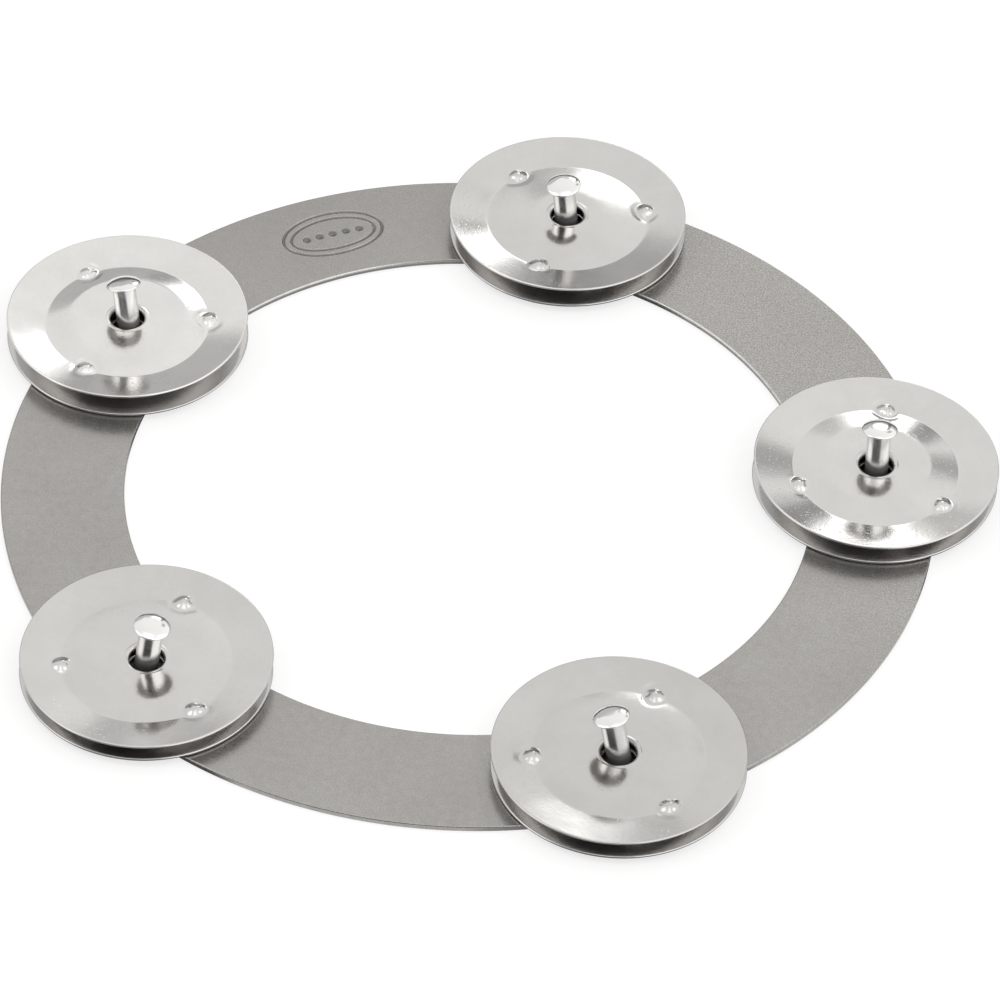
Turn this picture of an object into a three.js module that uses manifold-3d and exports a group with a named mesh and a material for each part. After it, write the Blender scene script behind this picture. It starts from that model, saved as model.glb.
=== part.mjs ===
// Jingle ring: a flat annular steel plate that is laid over the cup of a cymbal.
// Five headed rivets stand up from the plate, and each holds a loose pair of stamped
// jingles, the lower one rim down on the plate and the upper one turned over, rim up.
//
// Millimetres, +Z up. The origin is the centre of the ring in the plane of its upper face.
// The plate's underside is at z = -PLATE.thickness.
import * as THREE from "three";
import { mergeVertices } from "three/addons/utils/BufferGeometryUtils.js";
import Module from "manifold-3d";

// ---------------------------------------------------------------- driving dimensions
const PLATE = {
  outerDiameter: 152.4,
  innerDiameter: 112.2,
  thickness: 1.0,
  bevel: 0.22, // on all four edges
  segments: 80,
};

const HOLE = {
  circleRadius: 66.75, // circle the holes' centres lie on
  radius: 1.6,
  countersinkRadius: 2.2,
  countersinkDepth: 0.5, // from the underside
  cutMargin: 1, // cutter's overrun past each face of the plate
  segments: 20,
};

// Heights are those of the straight rivet, before its shank is bent.
const RIVET = {
  shankRadius: 1.93,
  seatGap: 0.08, // shoulder above the plate
  bendLength: 2.0, // length over which the shank turns from the tenon's line to its lean
  tenonRadius: 1.5,
  tailRadius: 2.0, // peened tail in the countersink
  tailDepth: 0.42,
  tailInset: 0.03, // tail stays this far inside the underside
  headRadius: 2.95,
  headUnderside: 9.6, // height above the plate's upper face
  headRim: 0.35, // from the head's underside to the foot of its dome
  headChamferWidth: 0.2, // on the lower edge of the head
  headChamferHeight: 0.15,
  headCrown: 0.62, // rise of the dome
  // the dome between rim and top: [fraction of headRadius, fraction of headCrown]
  dome: [
    [0.72, 0.62],
    [0.36, 0.93],
  ],
  segments: 16,
};

const JINGLE = {
  diameter: 40.2,
  sheet: 0.4,
  holeRadius: 2.75,
  lipRadius: 3.45, // where the rolled edge of the hole meets the flat centre
  lipDrop: 0.45,
  flatRadius: 9.2, // end of the flat centre
  valleyRadius: 13.6,
  valleyDrop: 0.65, // valley below the flat centre
  rimRise: 0.62, // rim above the flat centre, unless the station gives its own
  segments: 32,
};

// Raised round bumps that straddle the jingle's valley.
const BUMP = {
  count: 3,
  radius: 1.65,
  height: 0.55, // above the sheet's upper face in the valley
  rootDepth: 0.1, // root below the sheet's mid-surface
  edgeHeight: 0.15, // widest edge above the sheet's mid-surface
  shoulderRadius: 0.62, // fraction of radius
  shoulderRise: 0.8, // fraction of the way from the edge to the top
  segments: 8,
};

const LOWER_GAP = 0.2; // lower jingle's rim above the plate
const PAIR_GAP = 0.15; // between the two valleys, back to back

// The stations, clockwise from above, with what is loose, bent or uneven at each.
// angle: degrees from +X to the rivet's hole. The holes are within 0.6 degrees of even spacing.
// lean: the rivet's lean above the plate, in degrees towards +X and towards +Y.
// upper, lower: each jingle's place, off the hole's centre, in millimetres.
// tilt: the upper jingle's slope, in degrees up towards +X and towards +Y.
// turn: where the first bump of the upper and of the lower jingle points, in degrees.
// lift: how far the upper jingle hangs above its place on the lower one, if it does.
// rimRise: the rim of both jingles above their flat centres, if not JINGLE.rimRise.
const STATIONS = [
  {
    angle: 162.35, lean: [-10.7, 12.8], upper: [-0.55, 0.24], lower: [-0.46, 0.02],
    tilt: [0.36, 0.23], turn: [16.3, 52], lift: 0.6,
  },
  {
    angle: 90, lean: [-5.2, -1.6], upper: [0.02, -0.22], lower: [0.1, -0.15],
    tilt: [-0.05, -0.8], turn: [23.2, 85],
  },
  {
    angle: 17.75, lean: [-0.9, 9.4], upper: [-0.04, -0.07], lower: [-0.1, -0.16],
    tilt: [-1.05, 0.55], turn: [94.7, 20],
  },
  {
    angle: -54.55, lean: [-12.4, 4.6], upper: [-0.33, -0.22], lower: [-0.26, -0.3],
    tilt: [-0.3, 0.9], turn: [78.9, 5],
  },
  {
    angle: -125.45, lean: [7.1, 0.9], upper: [0.29, -0.2], lower: [0.22, -0.26],
    tilt: [0.3, 1.2], turn: [80.8, 110], rimRise: 0.42,
  },
];

// ---------------------------------------------------------------- materials
const metal = (color, roughness) =>
  new THREE.MeshStandardMaterial({ color, roughness, metalness: 1.0 });

const BRUSHED_STEEL = { color: 0xa5a39e, roughness: 0.38 };
const BRIGHT_NICKEL = { color: 0xdcdad5, roughness: 0.14 };
const RIVET_STEEL = { color: 0xd2d0cb, roughness: 0.12 };

// ---------------------------------------------------------------- directions and places
const UP = new THREE.Vector3(0, 0, 1);
const radians = THREE.MathUtils.degToRad;

const slopesOf = (angles) => angles.map((angle) => Math.tan(radians(angle)));

const turnedBy = (degrees) => new THREE.Quaternion().setFromAxisAngle(UP, radians(degrees));

const holeCentre = (angle) => [
  HOLE.circleRadius * Math.cos(radians(angle)),
  HOLE.circleRadius * Math.sin(radians(angle)),
];

// ---------------------------------------------------------------- solids
const wasm = await Module();
wasm.setup();

// Strips the geometry to its positions, so that its seams weld into a closed solid.
const toSolid = (geometry) => {
  geometry.deleteAttribute("normal");
  geometry.deleteAttribute("uv");
  const welded = mergeVertices(geometry, 1e-4);
  return new wasm.Manifold(
    new wasm.Mesh({
      numProp: 3,
      vertProperties: new Float32Array(welded.attributes.position.array),
      triVerts: new Uint32Array(welded.index.array),
    }),
  );
};

// Flat-shaded geometry of a solid.
const toGeometry = (solid) => {
  const { vertProperties, triVerts } = solid.getMesh();
  const geometry = new THREE.BufferGeometry()
    .setAttribute("position", new THREE.BufferAttribute(vertProperties, 3))
    .setIndex(new THREE.BufferAttribute(triVerts, 1))
    .toNonIndexed();
  geometry.computeVertexNormals();
  return geometry;
};

// A profile of [radius, height] pairs turned about +Z.
const turned = (profile, segments) =>
  new THREE.LatheGeometry(
    profile.map(([radius, z]) => new THREE.Vector2(radius, z)),
    segments,
  ).rotateX(Math.PI / 2);

// ---------------------------------------------------------------- plate
const plateBlank = () => {
  const { thickness, bevel, segments } = PLATE;
  const outer = PLATE.outerDiameter / 2;
  const inner = PLATE.innerDiameter / 2;
  const profile = [
    [inner, -thickness + bevel],
    [inner + bevel, -thickness],
    [outer - bevel, -thickness],
    [outer, -thickness + bevel],
    [outer, -bevel],
    [outer - bevel, 0],
    [inner + bevel, 0],
    [inner, -bevel],
  ];
  return toSolid(turned([...profile, profile[0]], segments));
};

const holeCutter = () => {
  const { radius, countersinkRadius, countersinkDepth, cutMargin, segments } = HOLE;
  const underside = -PLATE.thickness;
  return turned(
    [
      [0, underside - cutMargin],
      [countersinkRadius, underside - cutMargin],
      [countersinkRadius, underside],
      [radius, underside + countersinkDepth],
      [radius, cutMargin],
      [0, cutMargin],
    ],
    segments,
  );
};

const plateGeometry = () => {
  let plate = plateBlank();
  for (const { angle } of STATIONS) {
    const cutter = holeCutter().translate(...holeCentre(angle), 0);
    plate = plate.subtract(toSolid(cutter));
  }
  return toGeometry(plate);
};

// ---------------------------------------------------------------- rivet
const straightRivet = () => {
  const { shankRadius, seatGap, tenonRadius, tailRadius, headRadius, headCrown } = RIVET;
  const bottom = -PLATE.thickness + RIVET.tailInset;
  const underside = RIVET.headUnderside;
  const domeFoot = underside + RIVET.headRim;
  return turned(
    [
      [0, bottom],
      [tailRadius, bottom],
      [tenonRadius, bottom + RIVET.tailDepth],
      [tenonRadius, seatGap],
      [shankRadius, seatGap],
      [shankRadius, seatGap + RIVET.bendLength],
      [shankRadius, underside],
      [headRadius - RIVET.headChamferWidth, underside],
      [headRadius, underside + RIVET.headChamferHeight],
      [headRadius, domeFoot],
      ...RIVET.dome.map(([out, rise]) => [headRadius * out, domeFoot + headCrown * rise]),
      [0, domeFoot + headCrown],
    ],
    RIVET.segments,
  );
};

// Turned straight, then bent: the tenon stays upright in the plate, and the shank and the
// head above it follow the lean.
const rivetGeometry = (lean) => {
  const rivet = straightRivet();
  const axis = new THREE.Vector3(...slopesOf(lean), 1).normalize();
  const upright = new THREE.Quaternion();
  const leaning = new THREE.Quaternion().setFromUnitVectors(UP, axis);
  const points = rivet.attributes.position;
  for (let i = 0; i < points.count; i++) {
    const along = points.getZ(i) - RIVET.seatGap;
    if (along <= 0) continue;
    const bend = THREE.MathUtils.smoothstep(along, 0, RIVET.bendLength);
    const across = new THREE.Vector3(points.getX(i), points.getY(i), 0);
    across.applyQuaternion(upright.clone().slerp(leaning, bend));
    const point = axis.clone().multiplyScalar(along).add(across);
    points.setXYZ(i, point.x, point.y, point.z + RIVET.seatGap);
  }
  return toGeometry(toSolid(rivet));
};

// ---------------------------------------------------------------- jingle
const HALF_SHEET = JINGLE.sheet / 2;

// A bump at the origin, with the sheet's mid-surface in the valley at z = 0.
const bumpGeometry = () => {
  const { radius, edgeHeight } = BUMP;
  const top = BUMP.height + HALF_SHEET;
  return turned(
    [
      [0, -BUMP.rootDepth],
      [radius, edgeHeight],
      [radius * BUMP.shoulderRadius, edgeHeight + (top - edgeHeight) * BUMP.shoulderRise],
      [0, top],
    ],
    BUMP.segments,
  );
};

// The stamping with its flat centre's mid-surface at z = 0, valley down and rim up. The edge
// of the hole is rolled down.
const jingleGeometry = (rimRise) => {
  const { valleyRadius, valleyDrop } = JINGLE;
  const middle = [
    [JINGLE.holeRadius, -JINGLE.lipDrop],
    [JINGLE.lipRadius, 0],
    [JINGLE.flatRadius, 0],
    [valleyRadius, -valleyDrop],
    [JINGLE.diameter / 2, rimRise],
  ];
  const under = middle.map(([radius, z]) => [radius, z - HALF_SHEET]);
  const over = middle.map(([radius, z]) => [radius, z + HALF_SHEET]).reverse();
  let jingle = toSolid(turned([...under, ...over, under[0]], JINGLE.segments));
  for (let i = 0; i < BUMP.count; i++) {
    const angle = (i * 2 * Math.PI) / BUMP.count;
    const x = valleyRadius * Math.cos(angle);
    const y = valleyRadius * Math.sin(angle);
    jingle = jingle.add(toSolid(bumpGeometry().translate(x, y, -valleyDrop)));
  }
  return toGeometry(jingle);
};

// ---------------------------------------------------------------- assembly
const addMesh = (name, geometry, { color, roughness }, parent) => {
  const mesh = new THREE.Mesh(geometry, metal(color, roughness));
  mesh.name = name;
  parent.add(mesh);
  return mesh;
};

const placeLower = (jingle, { lower, turn }, height) => {
  const turnedOver = new THREE.Quaternion().setFromAxisAngle(
    new THREE.Vector3(1, 0, 0),
    Math.PI,
  );
  jingle.position.set(...lower, height);
  jingle.quaternion.copy(turnedBy(turn[1]).multiply(turnedOver));
};

const placeUpper = (jingle, { upper, tilt, turn, lift = 0 }, lowerHeight) => {
  const { valleyRadius, valleyDrop, sheet } = JINGLE;
  const [slopeX, slopeY] = slopesOf(tilt);
  const normal = new THREE.Vector3(-slopeX, -slopeY, 1).normalize();
  // a tilted jingle rests on one side of the lower one's ridge
  const propped = valleyRadius * Math.hypot(slopeX, slopeY);
  const spacing = 2 * valleyDrop + sheet + PAIR_GAP + propped + lift;
  jingle.position.set(...upper, lowerHeight + spacing);
  jingle.quaternion.setFromUnitVectors(UP, normal).multiply(turnedBy(turn[0]));
};

// A rivet and its pair of jingles, in a group centred on the hole.
const stationGroup = (station, number) => {
  const group = new THREE.Group();
  group.position.set(...holeCentre(station.angle), 0);
  addMesh(`rivet_${number}`, rivetGeometry(station.lean), RIVET_STEEL, group);

  const rimRise = station.rimRise ?? JINGLE.rimRise;
  const stamping = jingleGeometry(rimRise);
  const lowerHeight = LOWER_GAP + HALF_SHEET + rimRise;
  const lower = addMesh(`lower_jingle_${number}`, stamping, BRIGHT_NICKEL, group);
  placeLower(lower, station, lowerHeight);
  const upper = addMesh(`upper_jingle_${number}`, stamping.clone(), BRIGHT_NICKEL, group);
  placeUpper(upper, station, lowerHeight);
  return group;
};

const jingleRing = new THREE.Group();
addMesh("ring", plateGeometry(), BRUSHED_STEEL, jingleRing);
STATIONS.forEach((station, i) => jingleRing.add(stationGroup(station, i + 1)));

export default jingleRing;
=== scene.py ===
from collections import namedtuple
from functools import reduce
from math import cos, hypot, pi, radians, sin, tan

import bmesh
import bpy
import numpy as np
from mathutils import Matrix, Quaternion, Vector, noise


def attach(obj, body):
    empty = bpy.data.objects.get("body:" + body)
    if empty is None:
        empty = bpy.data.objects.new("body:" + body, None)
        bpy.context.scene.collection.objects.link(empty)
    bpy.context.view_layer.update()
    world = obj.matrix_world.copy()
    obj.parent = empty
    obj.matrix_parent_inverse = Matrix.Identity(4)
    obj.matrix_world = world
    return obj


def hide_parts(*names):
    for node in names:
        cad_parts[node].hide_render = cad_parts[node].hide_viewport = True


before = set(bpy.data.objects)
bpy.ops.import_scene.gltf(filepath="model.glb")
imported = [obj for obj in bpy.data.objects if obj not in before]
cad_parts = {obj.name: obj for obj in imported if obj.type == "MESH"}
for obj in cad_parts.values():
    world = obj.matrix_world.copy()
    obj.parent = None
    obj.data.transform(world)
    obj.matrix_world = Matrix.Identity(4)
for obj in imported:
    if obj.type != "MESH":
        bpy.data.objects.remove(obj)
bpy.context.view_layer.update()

# ------------------------------------------------------------------ dimensions, millimetres
MM = 0.001

PLATE_OUTER = 76.2
PLATE_INNER = 56.1
PLATE_THICK = 1.0
PIN_CIRCLE = 66.75  # radius on which the rivets stand
PIN_HOLE = 1.6
SINK_RADIUS = 2.2  # countersink under each rivet hole
SINK_DEPTH = 0.5

SHEET = 0.4  # thickness of a jingle
JINGLE_RADIUS = 20.1
JINGLE_HOLE = 2.75
FLAT_RADIUS = 9.2  # end of the flat middle
VALLEY_RADIUS = 13.6
VALLEY_DROP = 0.65
RIM_RISE = 0.62
LOWER_GAP = 0.2  # plate to lower jingle
PAIR_GAP = 0.15  # lower to upper jingle

# Pressing of one jingle: height of the centre, depth of the valley, radius where the slope to it
# starts, how the slope steepens, and height of the rim over the centre.
Relief = namedtuple("Relief", "centre depth start power rise")

# angle: place round the ring, degrees from +X
# lean: the rivet's lean toward +X and +Y, degrees
# upper, lower: shift of each jingle's centre from the rivet's foot
# tilt: slope of the upper jingle along X and Y, degrees; lift: its extra height
# turn: degrees each jingle is turned about its axis, upper and lower
# relief, tone: pressing and brightness of the upper jingle; rise: rim of the lower one
STATIONS = [
    dict(angle=162.35, lean=(-10.7, 12.8), upper=(-0.55, 0.24), lower=(-0.46, 0.02),
         tilt=(0.36, 0.23), lift=0.6, turn=(16.3, 52),
         relief=Relief(0.1, 0.92, 9.5, 1.15, 0.6), tone=1.125),
    dict(angle=90.0, lean=(-5.2, -1.6), upper=(0.02, -0.22), lower=(0.1, -0.15),
         tilt=(-0.05, -0.8), turn=(23.2, 85),
         relief=Relief(0.26, 0.95, 5.4, 1.3, 0.42), tone=0.935),
    dict(angle=17.75, lean=(-0.9, 9.4), upper=(-0.04, -0.07), lower=(-0.1, -0.16),
         tilt=(-1.05, 0.55), turn=(94.7, 20),
         relief=Relief(0.17, 0.84, 8.6, 1.12, 0.57), tone=0.985),
    dict(angle=-54.55, lean=(-12.4, 4.6), upper=(-0.33, -0.22), lower=(-0.26, -0.3),
         tilt=(-0.3, 0.9), turn=(78.9, 5),
         relief=Relief(0.0, 0.48, 9.9, 1.25, 0.65), tone=0.865),
    dict(angle=-125.45, lean=(7.1, 0.9), upper=(0.29, -0.2), lower=(0.22, -0.26),
         tilt=(0.3, 1.2), rise=0.42, turn=(80.8, 110),
         relief=Relief(-0.15, 0.5, 9.4, 1.3, 0.68), tone=0.93),
]

# centre of the stamped ornament, between the first two stations
STAMP_ANGLE = 124.9  # degrees from +X
STAMP_RADIUS = 66.6


def polar(radius, degrees):
    return radius * cos(radians(degrees)), radius * sin(radians(degrees))


# ------------------------------------------------------------------ node helpers
FALLING = (1.0, 0.0)


class Nodes:
    """Builds the node tree of a new material or world. Values are numbers, tuples or sockets."""

    def __init__(self, name, world=False):
        self.owner = (bpy.data.worlds if world else bpy.data.materials).new(name)
        self.owner.use_nodes = True
        self.tree = self.owner.node_tree
        self.tree.nodes.clear()
        self.out = self.add("ShaderNodeOutputWorld" if world else "ShaderNodeOutputMaterial")

    def feed(self, socket, value):
        if isinstance(value, bpy.types.NodeSocket):
            self.tree.links.new(value, socket)
        else:
            socket.default_value = value

    def add(self, kind, inputs=None, **props):
        node = self.tree.nodes.new(kind)
        for key, value in props.items():
            setattr(node, key, value)
        for key, value in (inputs or {}).items():
            self.feed(node.inputs[key], value)
        return node

    def split(self, vector):
        return self.add("ShaderNodeSeparateXYZ", {0: vector}).outputs

    def mapping(self, vector, **inputs):
        return self.add("ShaderNodeMapping", {"Vector": vector, **inputs}).outputs[0]

    def noise(self, vector, scale, detail, rough):
        inputs = {"Vector": vector, "Scale": scale, "Detail": detail, "Roughness": rough}
        return self.add("ShaderNodeTexNoise", inputs).outputs["Fac"]

    def remap(self, value, over, to=(0.0, 1.0), curve="LINEAR"):
        """Takes the range over to the range to, clamped."""
        inputs = {"Value": value, "From Min": over[0], "From Max": over[1],
                  "To Min": to[0], "To Max": to[1]}
        return self.add("ShaderNodeMapRange", inputs, interpolation_type=curve).outputs["Result"]

    def step(self, value, over, to=(0.0, 1.0)):
        return self.remap(value, over, to, "SMOOTHSTEP")

    def span(self, value, over, soft):
        """1 where value lies in the range over, with soft edges."""
        low, high = over
        return self.times(self.step(value, (low - soft, low + soft)),
                          self.step(value, (high - soft, high + soft), FALLING))

    def math(self, operation, *values):
        return self.add("ShaderNodeMath", dict(enumerate(values)), operation=operation).outputs[0]

    def vector_math(self, operation, first, second=None):
        inputs = {0: first} if second is None else {0: first, 1: second}
        return self.add("ShaderNodeVectorMath", inputs, operation=operation).outputs

    def plus(self, first, second):
        return self.math("ADD", first, second)

    def times(self, *values):
        return reduce(lambda first, second: self.math("MULTIPLY", first, second), values)

    def largest(self, *values):
        return reduce(lambda first, second: self.math("MAXIMUM", first, second), values)

    def blend(self, amount, start, end):
        """The number start where amount is 0 and end where it is 1."""
        inputs = {0: amount, 2: start, 3: end}
        return self.add("ShaderNodeMix", inputs, data_type="FLOAT").outputs[0]

    def mix(self, amount, start, end):
        """The same for colours."""
        start, end = ((*c, 1.0) if isinstance(c, tuple) else c for c in (start, end))
        inputs = {0: amount, 6: start, 7: end}
        return self.add("ShaderNodeMix", inputs, data_type="RGBA").outputs[2]

    def bumps(self, *layers):
        """The normal after (height, distance in metres) layers, each laid over the last."""
        under = {}
        for height, distance in layers:
            inputs = {"Height": height, "Distance": distance, **under}
            normal = self.add("ShaderNodeBump", inputs).outputs["Normal"]
            under = {"Normal": normal}
        return normal

    def metal(self, colour, rough, normal, metallic=1.0):
        shader = self.add("ShaderNodeBsdfPrincipled", {
            "Metallic": metallic, "Base Color": colour, "Roughness": rough, "Normal": normal})
        self.feed(self.out.inputs["Surface"], shader.outputs[0])
        return shader

    def show_mixed(self, amount, first, second):
        """Sends the first shader to the output where amount is 0, and the second where it is 1."""
        inputs = {0: amount, 1: first.outputs[0], 2: second.outputs[0]}
        mixer = self.add("ShaderNodeMixShader", inputs)
        self.feed(self.out.inputs[0], mixer.outputs[0])


# ------------------------------------------------------------------ metals
def plate_material():
    m = Nodes("satin_steel")
    place = m.add("ShaderNodeTexCoord").outputs["Object"]
    x, y, z = m.split(place)
    cloud = m.noise(place, scale=45, detail=4, rough=0.6)
    fine = m.noise(place, scale=700, detail=3, rough=0.6)
    grain = m.noise(place, scale=2900, detail=2, rough=0.7)
    peen = m.noise(place, scale=380, detail=2, rough=0.5)
    mottle = m.plus(m.times(cloud, 0.5), m.times(fine, 0.5))
    colour = m.mix(m.remap(mottle, over=(0.36, 0.64)),
                   (0.372, 0.362, 0.347), (0.434, 0.424, 0.408))

    # the ring is a little darker toward +Y and -X
    side = m.plus(m.times(y, 0.85), m.times(x, -0.5))
    colour = m.mix(m.step(side, over=(0.03, 0.085), to=(0.0, 0.5)), colour, (0.30, 0.29, 0.277))

    # dark and bright grit; it is strongest toward +X and +Y as painted light from the soft box
    # catching the grain, and the bright specks are painted glints
    grit_and_glint_side = m.plus(m.times(y, 0.7), m.times(x, 0.7))
    amount = m.step(grit_and_glint_side, over=(0.02, 0.06), to=(0.16, 0.5))
    grit = m.noise(place, scale=3800, detail=1, rough=0.5)
    for over, grit_colour in (((0.5, 0.28), (0.17, 0.165, 0.155)),
                              ((0.5, 0.72), (0.70, 0.685, 0.655))):
        colour = m.mix(m.times(amount, m.remap(grit, over=over)), colour, grit_colour)
    pit = m.remap(m.noise(place, scale=1700, detail=2, rough=0.6), over=(0.28, 0.4), to=FALLING)
    colour = m.mix(m.times(pit, 0.22), colour, (0.22, 0.21, 0.2))

    # darker below the surface within reach of the ornament's centre, in its grooves and punch
    # marks
    stamp_x, stamp_y = polar(STAMP_RADIUS, STAMP_ANGLE)
    away = m.vector_math("DISTANCE", place, (stamp_x * MM, stamp_y * MM, 0))["Value"]
    groove = m.times(m.step(away, over=(0.0095, 0.0098), to=FALLING),
                     m.step(z, over=(-0.00016, -0.00004), to=(0.6, 0.0)))
    colour = m.mix(groove, colour, (0.085, 0.08, 0.074))

    # the +Y part of the inner edge: a painted highlight line on the bevel over painted shade on
    # the cut wall
    square = m.plus(m.times(x, x), m.times(y, y))
    inner = m.times(m.step(square, over=(0.05618**2, 0.05642**2), to=FALLING),
                    m.step(y, over=(0.010, 0.026)))
    beside = m.math("ABSOLUTE", m.plus(x, 0.006))
    bevel_highlight = m.times(m.step(beside, over=(0.015, 0.026), to=(0.1, 1.0)),
                  m.remap(fine, over=(0.3, 0.6), to=(0.65, 1.0)))
    bevel_highlight = m.times(bevel_highlight, inner, m.step(z, over=(-0.00034, -0.0002), to=(0.0, 0.7)))
    wall = m.times(inner, m.step(z, over=(-0.00044, -0.0003), to=(0.62, 0.0)))
    colour = m.mix(wall, colour, (0.13, 0.125, 0.118))
    colour = m.mix(bevel_highlight, colour, (0.85, 0.84, 0.82))

    # short scratches, all running one way
    stretched = m.mapping(place, Rotation=(0, 0, radians(38)), Scale=(3.0, 120.0, 1.0))
    scratch = m.remap(m.noise(stretched, scale=22, detail=2, rough=0.6), over=(0.6, 0.74))
    rough = m.plus(m.remap(mottle, over=(0.3, 0.7), to=(0.21, 0.29)), m.times(scratch, 0.04))
    normal = m.bumps((peen, 8e-6), (fine, 6e-6), (grain, 5e-6), (scratch, -1.2e-6))
    m.metal(colour, rough, normal, metallic=0.8)
    return m.owner


def nickel_material(name, seed, tone, lower):
    """Bright nickel outside a pair; where the two discs face each other it is rougher, and painted
    shade darkens it.
    """
    m = Nodes(name)
    coord = m.add("ShaderNodeTexCoord").outputs
    place = m.mapping(coord["Object"], Location=(seed * 0.37, seed * 0.21, seed * 0.11))
    inner = m.step(m.split(coord["Normal"])[2], over=(-0.12, 0.12),
                   to=(0.0, 1.0) if lower else FALLING)
    cloud = m.noise(place, scale=120, detail=4, rough=0.6)
    ripple = m.noise(place, scale=420, detail=2, rough=0.5)
    peel = m.noise(place, scale=1500, detail=2, rough=0.6)
    grain = m.noise(place, scale=3300, detail=2, rough=0.7)

    dark, light = (tuple(channel * tone for channel in shade)
                   for shade in ((0.695, 0.687, 0.672), (0.735, 0.728, 0.714)))
    colour = m.mix(m.remap(cloud, over=(0.35, 0.65)), dark, light)
    fleck = m.remap(m.noise(place, scale=2300, detail=2, rough=0.7), over=(0.3, 0.7))
    colour = m.mix(m.times(fleck, 0.07), colour, (0.42, 0.41, 0.395))
    # painted shade where the two discs face each other
    colour = m.mix(inner, colour, (0.615, 0.606, 0.597))

    # small rough spots, and a rougher inner face
    spot = m.remap(m.noise(place, scale=2600, detail=1, rough=0.5), over=(0.6, 0.8))
    rough = m.plus(m.remap(cloud, over=(0.3, 0.7), to=(0.115, 0.145)), m.times(spot, 0.05))
    rough = m.plus(rough, m.times(inner, 0.03))
    pimple = m.remap(m.noise(place, scale=2200, detail=1, rough=0.5), over=(0.66, 0.8))
    normal = m.bumps((ripple, 3e-6), (peel, 2.2e-6), (grain, 4.5e-6), (pimple, 7e-6))
    m.metal(colour, rough, normal)
    return m.owner


def rivet_material(name, seed):
    """Bright steel: a polished head, a drawn shank, a darker underside to the head that is painted
    shade with some grime, and painted shade low on the shank.
    """
    m = Nodes(name)
    coord = m.add("ShaderNodeTexCoord").outputs
    place = m.mapping(coord["Object"], Location=(seed * 0.31, seed * 0.17, seed * 0.13))
    drawn = m.mapping(place, Scale=(1.0, 1.0, 0.06))
    facing = m.split(coord["Normal"])[2]
    up = m.step(facing, over=(0.5, 0.85))
    shaded_underside = m.step(facing, over=(-0.75, -0.35), to=FALLING)
    cloud = m.noise(place, scale=300, detail=3, rough=0.6)
    streak = m.noise(drawn, scale=2600, detail=2, rough=0.6)
    grain = m.noise(place, scale=3600, detail=2, rough=0.7)
    colour = m.mix(m.remap(cloud, over=(0.35, 0.65)),
                   (0.79, 0.785, 0.775), (0.84, 0.835, 0.825))
    colour = m.mix(m.times(m.remap(streak, over=(0.56, 0.72)), 0.3),
                   colour, (0.60, 0.585, 0.565))
    colour = m.mix(up, colour, (0.90, 0.895, 0.885))
    # painted shade with some grime on the underside of the head
    colour = m.mix(shaded_underside, colour, (0.36, 0.345, 0.33))

    # painted shade low on the shank, down in the discs' holes, with a cloudy edge
    height = m.plus(m.split(coord["Object"])[2], m.times(cloud, 0.0012))
    hole_shade = m.times(m.step(height, over=(0.0029, 0.0054), to=(0.9, 0.0)),
                    m.step(height, over=(0.0008, 0.0020)))
    colour = m.mix(hole_shade, colour, (0.075, 0.065, 0.058))
    rough = m.blend(up, m.remap(cloud, over=(0.3, 0.7), to=(0.21, 0.28)),
                    m.remap(cloud, over=(0.3, 0.7), to=(0.08, 0.12)))
    normal = m.bumps((cloud, 5e-6), (streak, 2.5e-6), (grain, 3.0e-6))
    shader = m.metal(colour, rough, normal)
    m.feed(shader.inputs["Metallic"], m.math("SUBTRACT", 1.0, m.times(hole_shade, 0.75)))
    return m.owner


# ------------------------------------------------------------------ mesh helpers
def new_object(name, mesh, material):
    ob = bpy.data.objects.new(name, mesh)
    bpy.context.scene.collection.objects.link(ob)
    mesh.materials.append(material)
    return ob


def new_part(name, mesh, material, piece):
    """An object that rides on a CAD piece and takes its place."""
    ob = new_object(name, mesh, material)
    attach(ob, piece)
    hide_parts(piece)


def mesh_from_bmesh(bm, mesh):
    bm.to_mesh(mesh)
    bm.free()
    return mesh


def shade_smooth(mesh, sharp=None):
    """Smooth shading, broken at edges of more than sharp degrees."""
    for polygon in mesh.polygons:
        polygon.use_smooth = True
    if sharp is not None:
        mesh.set_sharp_from_angle(angle=radians(sharp))


def loft(name, rings, closed, sharp=None):
    """A solid through a (rings, columns, 3) array in millimetres. Its last ring joins its first
    if closed; otherwise both end rings are capped with fans."""
    rings = rings * MM
    count, columns, _ = rings.shape
    verts = list(rings.reshape(-1, 3))
    faces = []
    for i in range(count if closed else count - 1):
        this, other = i * columns, ((i + 1) % count) * columns
        for j in range(columns):
            k = (j + 1) % columns
            faces.append((this + j, this + k, other + k, other + j))
    if not closed:
        start, end, last = len(verts), len(verts) + 1, (count - 1) * columns
        verts += [rings[0].mean(0), rings[-1].mean(0)]
        faces += [(start, (j + 1) % columns, j) for j in range(columns)]
        faces += [(end, last + j, last + (j + 1) % columns) for j in range(columns)]
    mesh = bpy.data.meshes.new(name)
    mesh.from_pydata([tuple(v) for v in verts], [], faces)
    mesh.validate()
    mesh.update()
    shade_smooth(mesh, sharp)
    bm = bmesh.new()
    bm.from_mesh(mesh)
    bmesh.ops.recalc_face_normals(bm, faces=bm.faces)
    return mesh_from_bmesh(bm, mesh)


# ------------------------------------------------------------------ jingles
LIP_ROLL = 0.3  # radius to which the hole's edge is rolled down
LIP_RADIUS = JINGLE_HOLE + SHEET / 2 + LIP_ROLL  # where the roll starts

BUMP_COUNT = 3
BUMP_PITCH = 360 // BUMP_COUNT
BUMP_RADIUS = 1.42
BUMP_HEIGHT = 0.72
BUMP_HALF = 10.5  # half the angle that is meshed finely across a bump, degrees

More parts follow.
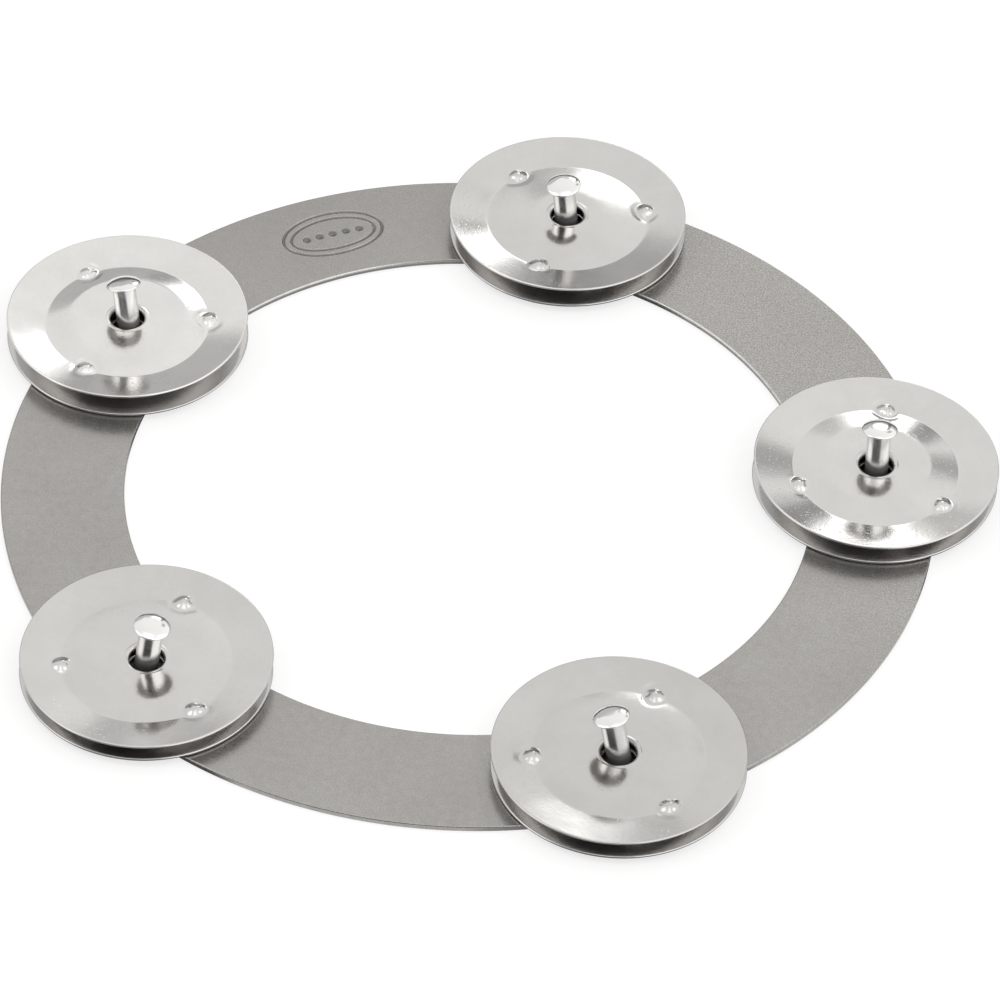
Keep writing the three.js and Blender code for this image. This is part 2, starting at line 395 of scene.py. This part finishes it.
# rows of the mesh outside the rolled lip: first radius, last radius, number of rows
ROW_BANDS = [
    (LIP_RADIUS + 0.06, LIP_RADIUS + 0.6, 9),
    (LIP_RADIUS + 0.9, FLAT_RADIUS, 12),
    (FLAT_RADIUS + 0.35, VALLEY_RADIUS - 1.9, 6),
    (VALLEY_RADIUS - 1.75, VALLEY_RADIUS - 0.3, 10),
    (VALLEY_RADIUS - 0.2, VALLEY_RADIUS + 0.2, 7),
    (VALLEY_RADIUS + 0.3, VALLEY_RADIUS + 1.9, 11),
    (VALLEY_RADIUS + 2.3, JINGLE_RADIUS - 0.5, 9),
    # the last row leaves room for the rounded rim
    (JINGLE_RADIUS - 0.35, JINGLE_RADIUS - SHEET / 2, 2),
]


def jingle_rows():
    lip = LIP_RADIUS - LIP_ROLL * np.sin(np.linspace(1.39, 0.0, 9))
    return np.concatenate([lip] + [np.linspace(*band) for band in ROW_BANDS])


def jingle_columns():
    """Angles round the jingle in radians, finer across its bumps."""
    fine = np.arange(-BUMP_HALF, BUMP_HALF + 0.01, 0.7)
    columns = []
    for k in range(BUMP_COUNT):
        bump = BUMP_PITCH * k
        columns += list(bump + fine)
        columns += list(np.linspace(bump + BUMP_HALF, bump + BUMP_PITCH - BUMP_HALF, 52)[1:-1])
    return np.radians(np.array(columns))


def soft_max(first, second, softness):
    return 0.5 * (first + second + np.sqrt((first - second) ** 2 + softness * softness))


def pressed_height(radius, relief):
    """Height of the sheet's middle surface, before bumps and waves."""
    centre, depth, start, power, rise = relief
    slope = np.clip((radius - start) / (VALLEY_RADIUS - start), 0, None)
    inner = -depth * slope**power
    outer = -depth + (radius - VALLEY_RADIUS) * (rise + depth) / (JINGLE_RADIUS - VALLEY_RADIUS)
    height = centre + np.where(radius < VALLEY_RADIUS - 2.5, inner, soft_max(inner, outer, 0.05))
    # the hole's edge is rolled down, with a slight burr round it
    roll = np.clip((LIP_RADIUS - radius) / LIP_ROLL, 0, 0.985)
    burr_height, burr_offset, burr_width = 0.06, 0.12, 0.18
    burr = burr_height * np.exp(-(((radius - LIP_RADIUS - burr_offset) / burr_width) ** 2))
    return height + burr - LIP_ROLL * (1 - np.sqrt(1 - roll**2))


def sheet_wave(x, y, seed):
    """A slow wave, since sheet metal is never quite true."""
    wave = np.zeros_like(x)
    for i, j in np.ndindex(x.shape):
        point = Vector((x[i, j] * 0.11, y[i, j] * 0.11, seed * 7.3))
        finer = noise.noise(point * 2.7 + Vector((3, 5, 7)))
        wave[i, j] = noise.noise(point) + 0.35 * finer
    return wave


def raise_bump(x, y, z, k, relief, seed):
    """The heights z with bump k raised in the valley."""
    place = radians(BUMP_PITCH * k)
    off_x, off_y = x - VALLEY_RADIUS * cos(place), y - VALLEY_RADIUS * sin(place)
    bearing = np.arctan2(off_y, off_x)
    # no bump is quite round: shares of the radius in two and in three lobes
    two_lobes, three_lobes = 0.05, 0.04
    away = np.hypot(off_x, off_y) * (1 + two_lobes * np.sin(2 * bearing + seed + k)
                                     + three_lobes * np.sin(3 * bearing + 2.1 * seed + 1.7 * k))
    # a soft round top on flanks that run out into the sheet
    foot = -relief.depth + relief.centre
    cap = foot + BUMP_HEIGHT * (1.12 * np.exp(-((away / BUMP_RADIUS) ** 2.6)) - 0.12)
    # pinched a little on one side
    pinch_depth, pinch_offset, pinch_width = 0.21, 1.12, 0.42
    pinch = place + radians(70 + 150 * sin(seed * 2.3 + 1.9 * k))
    pinch_x, pinch_y = off_x - pinch_offset * cos(pinch), off_y - pinch_offset * sin(pinch)
    cap = cap - pinch_depth * np.exp(-(pinch_x**2 + pinch_y**2) / pinch_width**2)
    # the metal round a bump is drawn in, most toward the hole and to one side
    pull_depth, pull_radius, pull_width, uneven = 0.06, 2.0, 0.5, 0.45
    pull = pull_depth * (1 - uneven * np.cos(bearing - place)
                         + uneven * np.sin(bearing - place + seed * 1.7 + k))
    z = z - pull * np.exp(-(((away - pull_radius) / pull_width) ** 2))
    # the join is soft close to the bump and sharpens from fade to reach
    fade, reach = 2.2, 3.2
    soft = soft_max(z, cap, 0.10)
    lifted = soft - (soft - np.maximum(z, cap)) * np.clip(away - fade, 0, 1)
    return np.where(away < reach, lifted, z)


def jingle_surface(relief, seed):
    """Middle surface of the sheet as a (rows, columns, 3) array."""
    radius, angle = np.meshgrid(jingle_rows(), jingle_columns(), indexing="ij")
    x, y = radius * np.cos(angle), radius * np.sin(angle)
    wave_height, wave_run_in = 0.03, 3.0
    z = pressed_height(radius, relief)
    z = z + (wave_height * sheet_wave(x, y, seed)
             * np.clip((radius - JINGLE_HOLE) / wave_run_in, 0, 1))
    for k in range(BUMP_COUNT):
        z = raise_bump(x, y, z, k, relief, seed)
    return np.stack([x, y, z], -1)


def thicken(middle):
    """Rings round a sheet with rounded edges: over the top, round the rim, back underneath."""
    half = SHEET / 2
    across = np.gradient(middle, axis=0)
    around = np.roll(middle, -1, 1) - np.roll(middle, 1, 1)
    normal = np.cross(across, around)
    normal /= np.linalg.norm(normal, axis=-1, keepdims=True)

    def rounded_edge(row, sign):
        side = across[row] / np.linalg.norm(across[row], axis=-1, keepdims=True) * sign
        return [middle[row] + (normal[row] * cos(t) + side * sin(t)) * half
                for t in np.linspace(0, pi, 8)[1:-1]]

    top, bottom = middle + normal * half, middle - normal * half
    rim, hole = rounded_edge(-1, 1), rounded_edge(0, -1)
    return np.array(list(top) + rim + list(bottom[::-1]) + hole[::-1])


def make_jingle(level, number, centre, rotation, relief, tone=1.0):
    """A stamped disc with a rolled hole, a valley with bumps in it, and a rising rim."""
    lower = level == "lower"
    name = f"jingle_{level}_{number}"
    seed = number + 0.5 if lower else number
    rings = thicken(jingle_surface(relief, seed))
    points = rings.reshape(-1, 3) @ np.array(rotation.to_matrix()).T + np.array(centre)
    mesh = loft(name, points.reshape(rings.shape), closed=True)
    material = nickel_material("bright_nickel_" + name, seed, tone, lower)
    new_part(name, mesh, material, f"{level}_jingle_{number}")


# ------------------------------------------------------------------ rivets
RIVET_SEAT = 0.08  # height at which the rivet starts to lean
RIVET_BEND = 2.0  # length over which it does
RIVET_COLUMNS = 72
SHANK_RADIUS = 1.93
SHANK_FILLET = 0.25  # under the head
HEAD_RADIUS = 2.95
HEAD_BASE = 9.6
HEAD_ROUND = 0.17  # rounding of the head's rim
CROWN_RISE = 0.84


def rivet_profile():
    """(radius, height) from the clenched foot to just short of the middle of the crown."""
    bottom = -PLATE_THICK + 0.03
    seat = RIVET_SEAT
    profile = [
        # foot in the countersink
        (0.9, bottom), (1.85, bottom), (1.96, bottom + 0.02), (2.0, bottom + 0.07),
        (1.75, bottom + 0.24), (1.5, bottom + 0.42),
        # neck through the plate
        (1.5, -0.3), (1.5, -0.05), (1.5, seat),
        # lower end of the shank
        (1.8, seat), (SHANK_RADIUS - 0.03, seat + 0.02), (SHANK_RADIUS, seat + 0.1),
    ]
    profile += [(SHANK_RADIUS, z) for z in np.linspace(seat + 0.4, HEAD_BASE - 0.35, 22)]
    profile += [(SHANK_RADIUS + SHANK_FILLET * (1 - cos(t)),
                 HEAD_BASE - SHANK_FILLET + SHANK_FILLET * sin(t))
                for t in np.linspace(0.2, pi / 2, 6)]
    profile += [(2.5, HEAD_BASE), (HEAD_RADIUS - 0.16, HEAD_BASE + 0.01)]
    profile += [(HEAD_RADIUS - HEAD_ROUND + HEAD_ROUND * sin(t),
                 HEAD_BASE + 0.18 - HEAD_ROUND * cos(t))
                for t in np.linspace(0.15, pi - 0.75, 9)]
    edge_radius, edge_z = profile[-1]
    rise = HEAD_BASE + CROWN_RISE - edge_z
    for t in np.linspace(0, 1, 16)[1:-1]:
        radius = edge_radius * (1 - t)
        profile.append((radius, edge_z + rise * (1 - (radius / edge_radius) ** 3.1)))
    return profile


def make_rivet(number, foot, lean):
    name = f"rivet_pin_{number}"
    axis = Vector((tan(radians(lean[0])), tan(radians(lean[1])), 1)).normalized()
    leaning = Vector((0, 0, 1)).rotation_difference(axis)
    rings = []
    for radius, z in rivet_profile():
        along = z - RIVET_SEAT
        if along > 0:
            part = min(along / RIVET_BEND, 1)
            turn = Quaternion().slerp(leaning, part * part * (3 - 2 * part))
            centre = Vector((0, 0, RIVET_SEAT)) + axis * along
        else:
            turn = Quaternion()
            centre = Vector((0, 0, z))
        ring = []
        for j in range(RIVET_COLUMNS):
            t = 2 * pi * j / RIVET_COLUMNS
            point = centre + turn @ Vector((radius * cos(t), radius * sin(t), 0))
            ring.append((foot[0] + point.x, foot[1] + point.y, point.z))
        rings.append(ring)
    mesh = loft(name, np.array(rings), closed=False, sharp=50)
    material = rivet_material("rivet_steel_" + name, number)
    new_part(name, mesh, material, f"rivet_{number}")


# ------------------------------------------------------------------ stamped ornament
# Two oval grooves, one inside the other, round a row of five round punch marks.
OVAL_LENGTH, OVAL_WIDTH = 8.7, 5.1  # half sizes of the outer oval
OVAL_INSET = 1.35
GROOVE_HALF = 0.31
# half length, half width, depth
OVALS = [
    (OVAL_LENGTH, OVAL_WIDTH, 0.24),
    (OVAL_LENGTH - OVAL_INSET, OVAL_WIDTH - OVAL_INSET, 0.2),
]
PUNCH_PITCH, PUNCH_RADIUS, PUNCH_DEPTH = 2.35, 0.82, 0.24
# the finely meshed field that carries it
FIELD_STEP = 0.13
FIELD_LENGTH, FIELD_WIDTH = 146, 90  # steps


def stamp_depth(along, across):
    """Depth of the stamping at a place measured from the ornament's centre."""
    depth = 0.0
    for length, width, deep in OVALS:
        # distance to the oval, near enough for a groove
        level = hypot(along / length, across / width)
        slope = hypot(along / length**2, across / width**2)
        away = abs(level * (level - 1) / slope) if slope > 1e-9 else 99
        depth = max(depth, deep * max(0.0, 1 - (away / GROOVE_HALF) ** 2) ** 1.1)
    for k in range(-2, 3):
        away = hypot(along - k * PUNCH_PITCH, across)
        depth = max(depth, PUNCH_DEPTH * max(0.0, 1 - (away / PUNCH_RADIUS) ** 2) ** 0.8)
    return depth


def stamp_field(bm):
    """Adds the ornament's field to the plate and returns the vertices of its border."""
    grid = []
    for across in (np.arange(FIELD_WIDTH + 1) - FIELD_WIDTH / 2) * FIELD_STEP:
        row = []
        for along in (np.arange(FIELD_LENGTH + 1) - FIELD_LENGTH / 2) * FIELD_STEP:
            angle = radians(STAMP_ANGLE) - along / STAMP_RADIUS
            radius = STAMP_RADIUS + across
            point = (radius * cos(angle), radius * sin(angle), -stamp_depth(along, across))
            row.append(bm.verts.new(Vector(point) * MM))
        grid.append(row)
    for row, above in zip(grid, grid[1:]):
        for i in range(FIELD_LENGTH):
            bm.faces.new((row[i], row[i + 1], above[i + 1], above[i]))
    ends = [row[-1] for row in grid[1:]]
    starts = [row[0] for row in grid[-2:0:-1]]
    return grid[0] + ends + grid[-1][-2::-1] + starts


# ------------------------------------------------------------------ plate
EDGE_ROUND = 0.24
OUTER_COLUMNS, INNER_COLUMNS, HOLE_COLUMNS = 360, 300, 40

# section of a rivet hole from the top down: radius, height
HOLE_PROFILE = [
    (PIN_HOLE + 0.35, 0.0),
    (PIN_HOLE + 0.08, 0.0),
    (PIN_HOLE + 0.02, -0.02),
    (PIN_HOLE, -0.08),
    (PIN_HOLE, -PLATE_THICK + SINK_DEPTH),
    (SINK_RADIUS - 0.03, -PLATE_THICK + 0.05),
    (SINK_RADIUS + 0.02, -PLATE_THICK),
    (SINK_RADIUS + 0.3, -PLATE_THICK),
]


def edge_profile(radius, sign):
    """Section of a rounded edge from top to bottom, sign +1 for the outer and -1 for the inner."""
    top = [(radius - sign * 0.62, 0.0), (radius - sign * (EDGE_ROUND + 0.06), 0.0)]
    top += [(radius - sign * EDGE_ROUND * (1 - sin(t)), -EDGE_ROUND * (1 - cos(t)))
            for t in np.linspace(0, pi / 2, 6)]
    return top + [(r, -PLATE_THICK - z) for r, z in reversed(top)]


def revolve(bm, centre, profile, columns):
    """Turns a profile about a vertical axis and returns its first and last loops."""
    angles = np.arange(columns) * 2 * pi / columns
    loops = []
    for radius, z in profile:
        xs, ys = centre[0] + radius * np.cos(angles), centre[1] + radius * np.sin(angles)
        loops.append([bm.verts.new(Vector((x, y, z)) * MM) for x, y in zip(xs, ys)])
    for upper, lower in zip(loops, loops[1:]):
        for i in range(columns):
            k = (i + 1) % columns
            bm.faces.new((upper[i], upper[k], lower[k], lower[i]))
    return loops[0], loops[-1]


def make_plate():
    bm = bmesh.new()
    ends = [
        revolve(bm, (0, 0), edge_profile(PLATE_OUTER, 1), OUTER_COLUMNS),
        revolve(bm, (0, 0), edge_profile(PLATE_INNER, -1), INNER_COLUMNS),
    ]
    for station in STATIONS:
        foot = polar(PIN_CIRCLE, station["angle"])
        ends.append(revolve(bm, foot, HOLE_PROFILE, HOLE_COLUMNS))
    tops, bottoms = map(list, zip(*ends))
    tops.append(stamp_field(bm))
    # the flat faces fill what the loops leave open
    for loops in (tops, bottoms):
        edges = [bm.edges.get(pair) for loop in loops for pair in zip(loop, loop[1:] + loop[:1])]
        bmesh.ops.triangle_fill(bm, edges=edges, use_beauty=True)
    bmesh.ops.recalc_face_normals(bm, faces=bm.faces)
    mesh = mesh_from_bmesh(bm, bpy.data.meshes.new("plate"))
    shade_smooth(mesh, sharp=40)
    new_part("plate", mesh, plate_material(), "ring")


make_plate()


# ------------------------------------------------------------------ the five stations
def make_station(number, station):
    foot_x, foot_y = foot = polar(PIN_CIRCLE, station["angle"])
    make_rivet(number, foot, station["lean"])

    up = Vector((0, 0, 1))
    upper_turn, lower_turn = (Quaternion(up, radians(turn)) for turn in station["turn"])
    # the lower jingle is turned over and stands on its rim
    turned_over = Quaternion((1, 0, 0), pi)
    rise = station.get("rise", RIM_RISE)
    shift_x, shift_y = station["lower"]
    height = LOWER_GAP + SHEET / 2 + rise
    make_jingle("lower", number, (foot_x + shift_x, foot_y + shift_y, height),
                lower_turn @ turned_over, Relief(0.0, VALLEY_DROP, FLAT_RADIUS, 1.45, rise))

    # the upper one clears it at the valleys, however it tilts
    slope = [tan(radians(tilt)) for tilt in station["tilt"]]
    normal = Vector((-slope[0], -slope[1], 1)).normalized()
    shift_x, shift_y = station["upper"]
    height += (2 * VALLEY_DROP + SHEET + PAIR_GAP + VALLEY_RADIUS * hypot(*slope)
               + station.get("lift", 0.0))
    make_jingle("upper", number, (foot_x + shift_x, foot_y + shift_y, height),
                up.rotation_difference(normal) @ upper_turn, station["relief"], station["tone"])


for index, entry in enumerate(STATIONS):
    make_station(index + 1, entry)

# ------------------------------------------------------------------ studio
CAMERA_AZIMUTH = radians(13.0)  # turn of the view from +Y toward -X
CAMERA_ELEVATION = radians(43.62)
CAMERA_ROLL = radians(1.99)
CAMERA_DISTANCE = 1.0576  # metres
CAMERA_LENS = 233.33
CAMERA_TARGET = Vector((5.41, -0.30, -1.0)) * MM
FLOOR_RADIUS = 12.0  # metres
FLOOR_GAP = 0.00002  # metres below the plate
WALL_DISTANCE = 1.4  # metres from the origin
WALL_HALF, WALL_HEIGHT = 1.0, 1.6  # metres


def floor_material():
    """White to the eye with a trace of shadow, and dim in the polished metal above it."""
    m = Nodes("pale_floor")
    place = m.add("ShaderNodeTexCoord").outputs["Object"]
    tint = m.remap(m.noise(place, scale=3.0, detail=3, rough=0.5), over=(0.3, 0.7))
    colour = m.mix(tint, (0.29, 0.29, 0.29), (0.31, 0.31, 0.31))
    diffuse = m.add("ShaderNodeBsdfDiffuse", {"Color": colour})
    glow = m.add("ShaderNodeEmission", {"Color": (1, 1, 1, 1), "Strength": 0.74})
    seen = m.add("ShaderNodeAddShader", {0: diffuse.outputs[0], 1: glow.outputs[0]})

    # the metal sees the floor dark under the discs and on the camera's side of them
    toward_camera = (sin(CAMERA_AZIMUTH), -cos(CAMERA_AZIMUTH), 0)
    shades = []
    for station in STATIONS:
        foot_x, foot_y = polar(PIN_CIRCLE, station["angle"])
        offset = m.vector_math("SUBTRACT", place, (foot_x * MM, foot_y * MM, 0))[0]
        away = m.vector_math("LENGTH", offset)["Value"]
        ahead = m.vector_math("DOT_PRODUCT", offset, toward_camera)["Value"]
        cosine = m.math("DIVIDE", ahead, m.largest(away, 0.001))
        front = m.times(m.step(cosine, over=(0.35, 0.9)),
                        m.step(away, over=(0.024, 0.030), to=FALLING))
        under = m.step(away, over=(0.0175, 0.023), to=FALLING)
        shades.append(m.largest(under, front))
    strength = m.blend(m.largest(*shades), 0.9, 0.02)
    reflected = m.add("ShaderNodeEmission", {"Strength": strength})
    ray = m.add("ShaderNodeLightPath").outputs
    m.show_mixed(ray["Is Glossy Ray"], seen, reflected)
    return m.owner


def make_floor():
    bm = bmesh.new()
    bmesh.ops.create_circle(bm, cap_ends=True, segments=96, radius=FLOOR_RADIUS)
    mesh = mesh_from_bmesh(bm, bpy.data.meshes.new("floor"))
    floor = new_object("floor", mesh, floor_material())
    floor.location.z = -PLATE_THICK * MM - FLOOR_GAP


def studio_world():
    """A light tent: white overhead, grey low down, a dark card behind the camera to its left."""
    w = Nodes("studio", world=True)
    direction = w.add("ShaderNodeTexCoord").outputs["Generated"]
    turned = w.add("ShaderNodeVectorRotate", {"Angle": -CAMERA_AZIMUTH, "Vector": direction},
                   rotation_type="Z_AXIS")
    x, y, z = w.split(turned.outputs[0])
    # degrees above the horizon, and to the right of the camera's view direction
    elevation = w.times(w.math("ARCSINE", z), 180 / pi)
    azimuth = w.times(w.math("ARCTAN2", x, y), 180 / pi)

    def both_sides(over, band):
        return w.times(w.step(w.math("ABSOLUTE", azimuth), over=over), band)

    light = w.step(elevation, over=(3, 14), to=(0.34, 0.50))
    # the tent is a little brighter to the right
    tent = w.plus(w.step(elevation, over=(40, 66), to=(0.955, 0.93)), w.times(x, 0.11))
    light = w.blend(w.step(elevation, over=(18.0, 22.5)), light, tent)
    # lighter sides low down
    sides = both_sides((25, 80), w.span(elevation, over=(10, 22), soft=4))
    light = w.blend(w.times(sides, 0.45), light, 0.8)
    # dim behind the camera
    back = both_sides((120, 160), w.step(elevation, over=(16, 34), to=FALLING))
    light = w.blend(w.times(back, 0.6), light, 0.2)
    # a bright top, with a lamp high behind the camera
    light = w.blend(w.step(elevation, over=(68, 80)), light, 1.2)
    lamp = both_sides((128, 145), w.span(elevation, over=(72, 86), soft=3))
    light = w.blend(lamp, light, 1.6)
    # bright panels on both sides
    panels = both_sides((62, 84), w.span(elevation, over=(24, 64), soft=6))
    light = w.blend(panels, light, 1.75)
    # the dark card, fading between two angles from its middle
    middle = radians(-160)
    level = w.math("SQRT", w.plus(w.times(x, x), w.times(y, y)))
    toward = w.plus(w.times(x, sin(middle)), w.times(y, cos(middle)))
    toward = w.math("DIVIDE", toward, w.largest(level, 0.001))
    card = w.times(w.step(toward, over=(cos(radians(47)), cos(radians(27)))),
                   w.span(elevation, over=(16, 58), soft=7))
    light = w.blend(card, light, 0.03)

    warm_white = (1.0, 0.992, 0.978)
    channels = {i: w.times(light, share) for i, share in enumerate(warm_white)}
    colour = w.add("ShaderNodeCombineColor", channels).outputs[0]
    lit = w.add("ShaderNodeBackground", {0: colour})
    white = w.add("ShaderNodeBackground", {0: (1, 1, 1, 1)})
    ray = w.add("ShaderNodeLightPath").outputs
    w.show_mixed(ray["Is Camera Ray"], lit, white)
    return w.owner


def wall_material():
    """A soft box between dark flags over a grey wall, in millimetres across (x) and up (z)."""
    m = Nodes("back_wall")
    place = m.split(m.add("ShaderNodeTexCoord").outputs["Object"])
    x, z = m.times(place[0], 1000), m.times(place[2], 1000)

    def patch(x_over, x_soft, z_over, z_soft):
        return m.times(m.span(x, x_over, x_soft), m.span(z, z_over, z_soft))

    # the soft box, its top edge rising to the right
    slant = m.math("SUBTRACT", z, m.times(m.math("SUBTRACT", x, 250), 0.6))
    box = m.times(m.span(x, over=(64, 352), soft=16),
                  m.times(m.step(z, over=(508, 552)), m.step(slant, (866, 912), FALLING)))
    # the grey wall reaches higher to the left
    top = m.blend(m.step(x, over=(-480, 120)), 900, 505)
    grey = m.step(m.math("SUBTRACT", top, z), over=(-45, 45))
    # dark flags
    left = patch((-140, 10), 34, (640, 880), 50)
    right = patch((350, 505), 30, (200, 880), 60)
    corner = patch((-60, 110), 40, (400, 560), 30)
    high = patch((560, 900), 40, (1010, 1450), 60)
    right = m.largest(right, m.times(high, 0.8))
    dark = m.largest(m.times(left, 0.5), m.largest(m.times(right, 0.85), m.times(corner, 0.5)))

    strength = m.blend(dark, m.step(z, over=(210, 340), to=(0.1, 0.53)), 0.13)
    strength = m.blend(box, strength, 2.5)
    glow = m.add("ShaderNodeEmission", {"Color": (1, 0.995, 0.985, 1), "Strength": strength})
    clear = m.add("ShaderNodeBsdfTransparent")
    m.show_mixed(m.largest(box, grey, dark), clear, glow)
    return m.owner


def make_back_wall():
    """A wall beyond the object that is seen only in its reflections."""
    mesh = bpy.data.meshes.new("back_wall")
    corners = [(-WALL_HALF, 0, 0.0), (WALL_HALF, 0, 0.0),
               (WALL_HALF, 0, WALL_HEIGHT), (-WALL_HALF, 0, WALL_HEIGHT)]
    mesh.from_pydata(corners, [], [(0, 1, 2, 3)])
    wall = new_object("back_wall", mesh, wall_material())
    wall.rotation_euler = (0, 0, CAMERA_AZIMUTH)
    wall.location = Vector((-sin(CAMERA_AZIMUTH), cos(CAMERA_AZIMUTH), 0)) * WALL_DISTANCE
    wall.visible_camera = False
    wall.visible_shadow = False
    wall.visible_diffuse = False


def make_camera():
    camera = bpy.data.cameras.new("camera")
    camera.lens = CAMERA_LENS
    camera.sensor_width = 36.0
    camera.clip_start = 0.05
    camera.clip_end = 60.0
    ob = bpy.data.objects.new("camera", camera)
    bpy.context.scene.collection.objects.link(ob)
    look = Vector((-sin(CAMERA_AZIMUTH) * cos(CAMERA_ELEVATION),
                   cos(CAMERA_AZIMUTH) * cos(CAMERA_ELEVATION), -sin(CAMERA_ELEVATION)))
    right = Vector((cos(CAMERA_AZIMUTH), sin(CAMERA_AZIMUTH), 0))
    up = right.cross(look)
    rolled_right = right * cos(CAMERA_ROLL) + up * sin(CAMERA_ROLL)
    rolled_up = up * cos(CAMERA_ROLL) - right * sin(CAMERA_ROLL)
    rotation = Matrix((rolled_right, rolled_up, -look)).transposed()
    place = Matrix.Translation(CAMERA_TARGET - look * CAMERA_DISTANCE)
    ob.matrix_world = place @ rotation.to_4x4()
    return ob


scene = bpy.context.scene
make_floor()
scene.world = studio_world()
make_back_wall()
scene.camera = make_camera()
scene.view_settings.view_transform = "Standard"
scene.view_settings.look = "None"
scene.view_settings.exposure = 0.0
scene.view_settings.gamma = 1.0
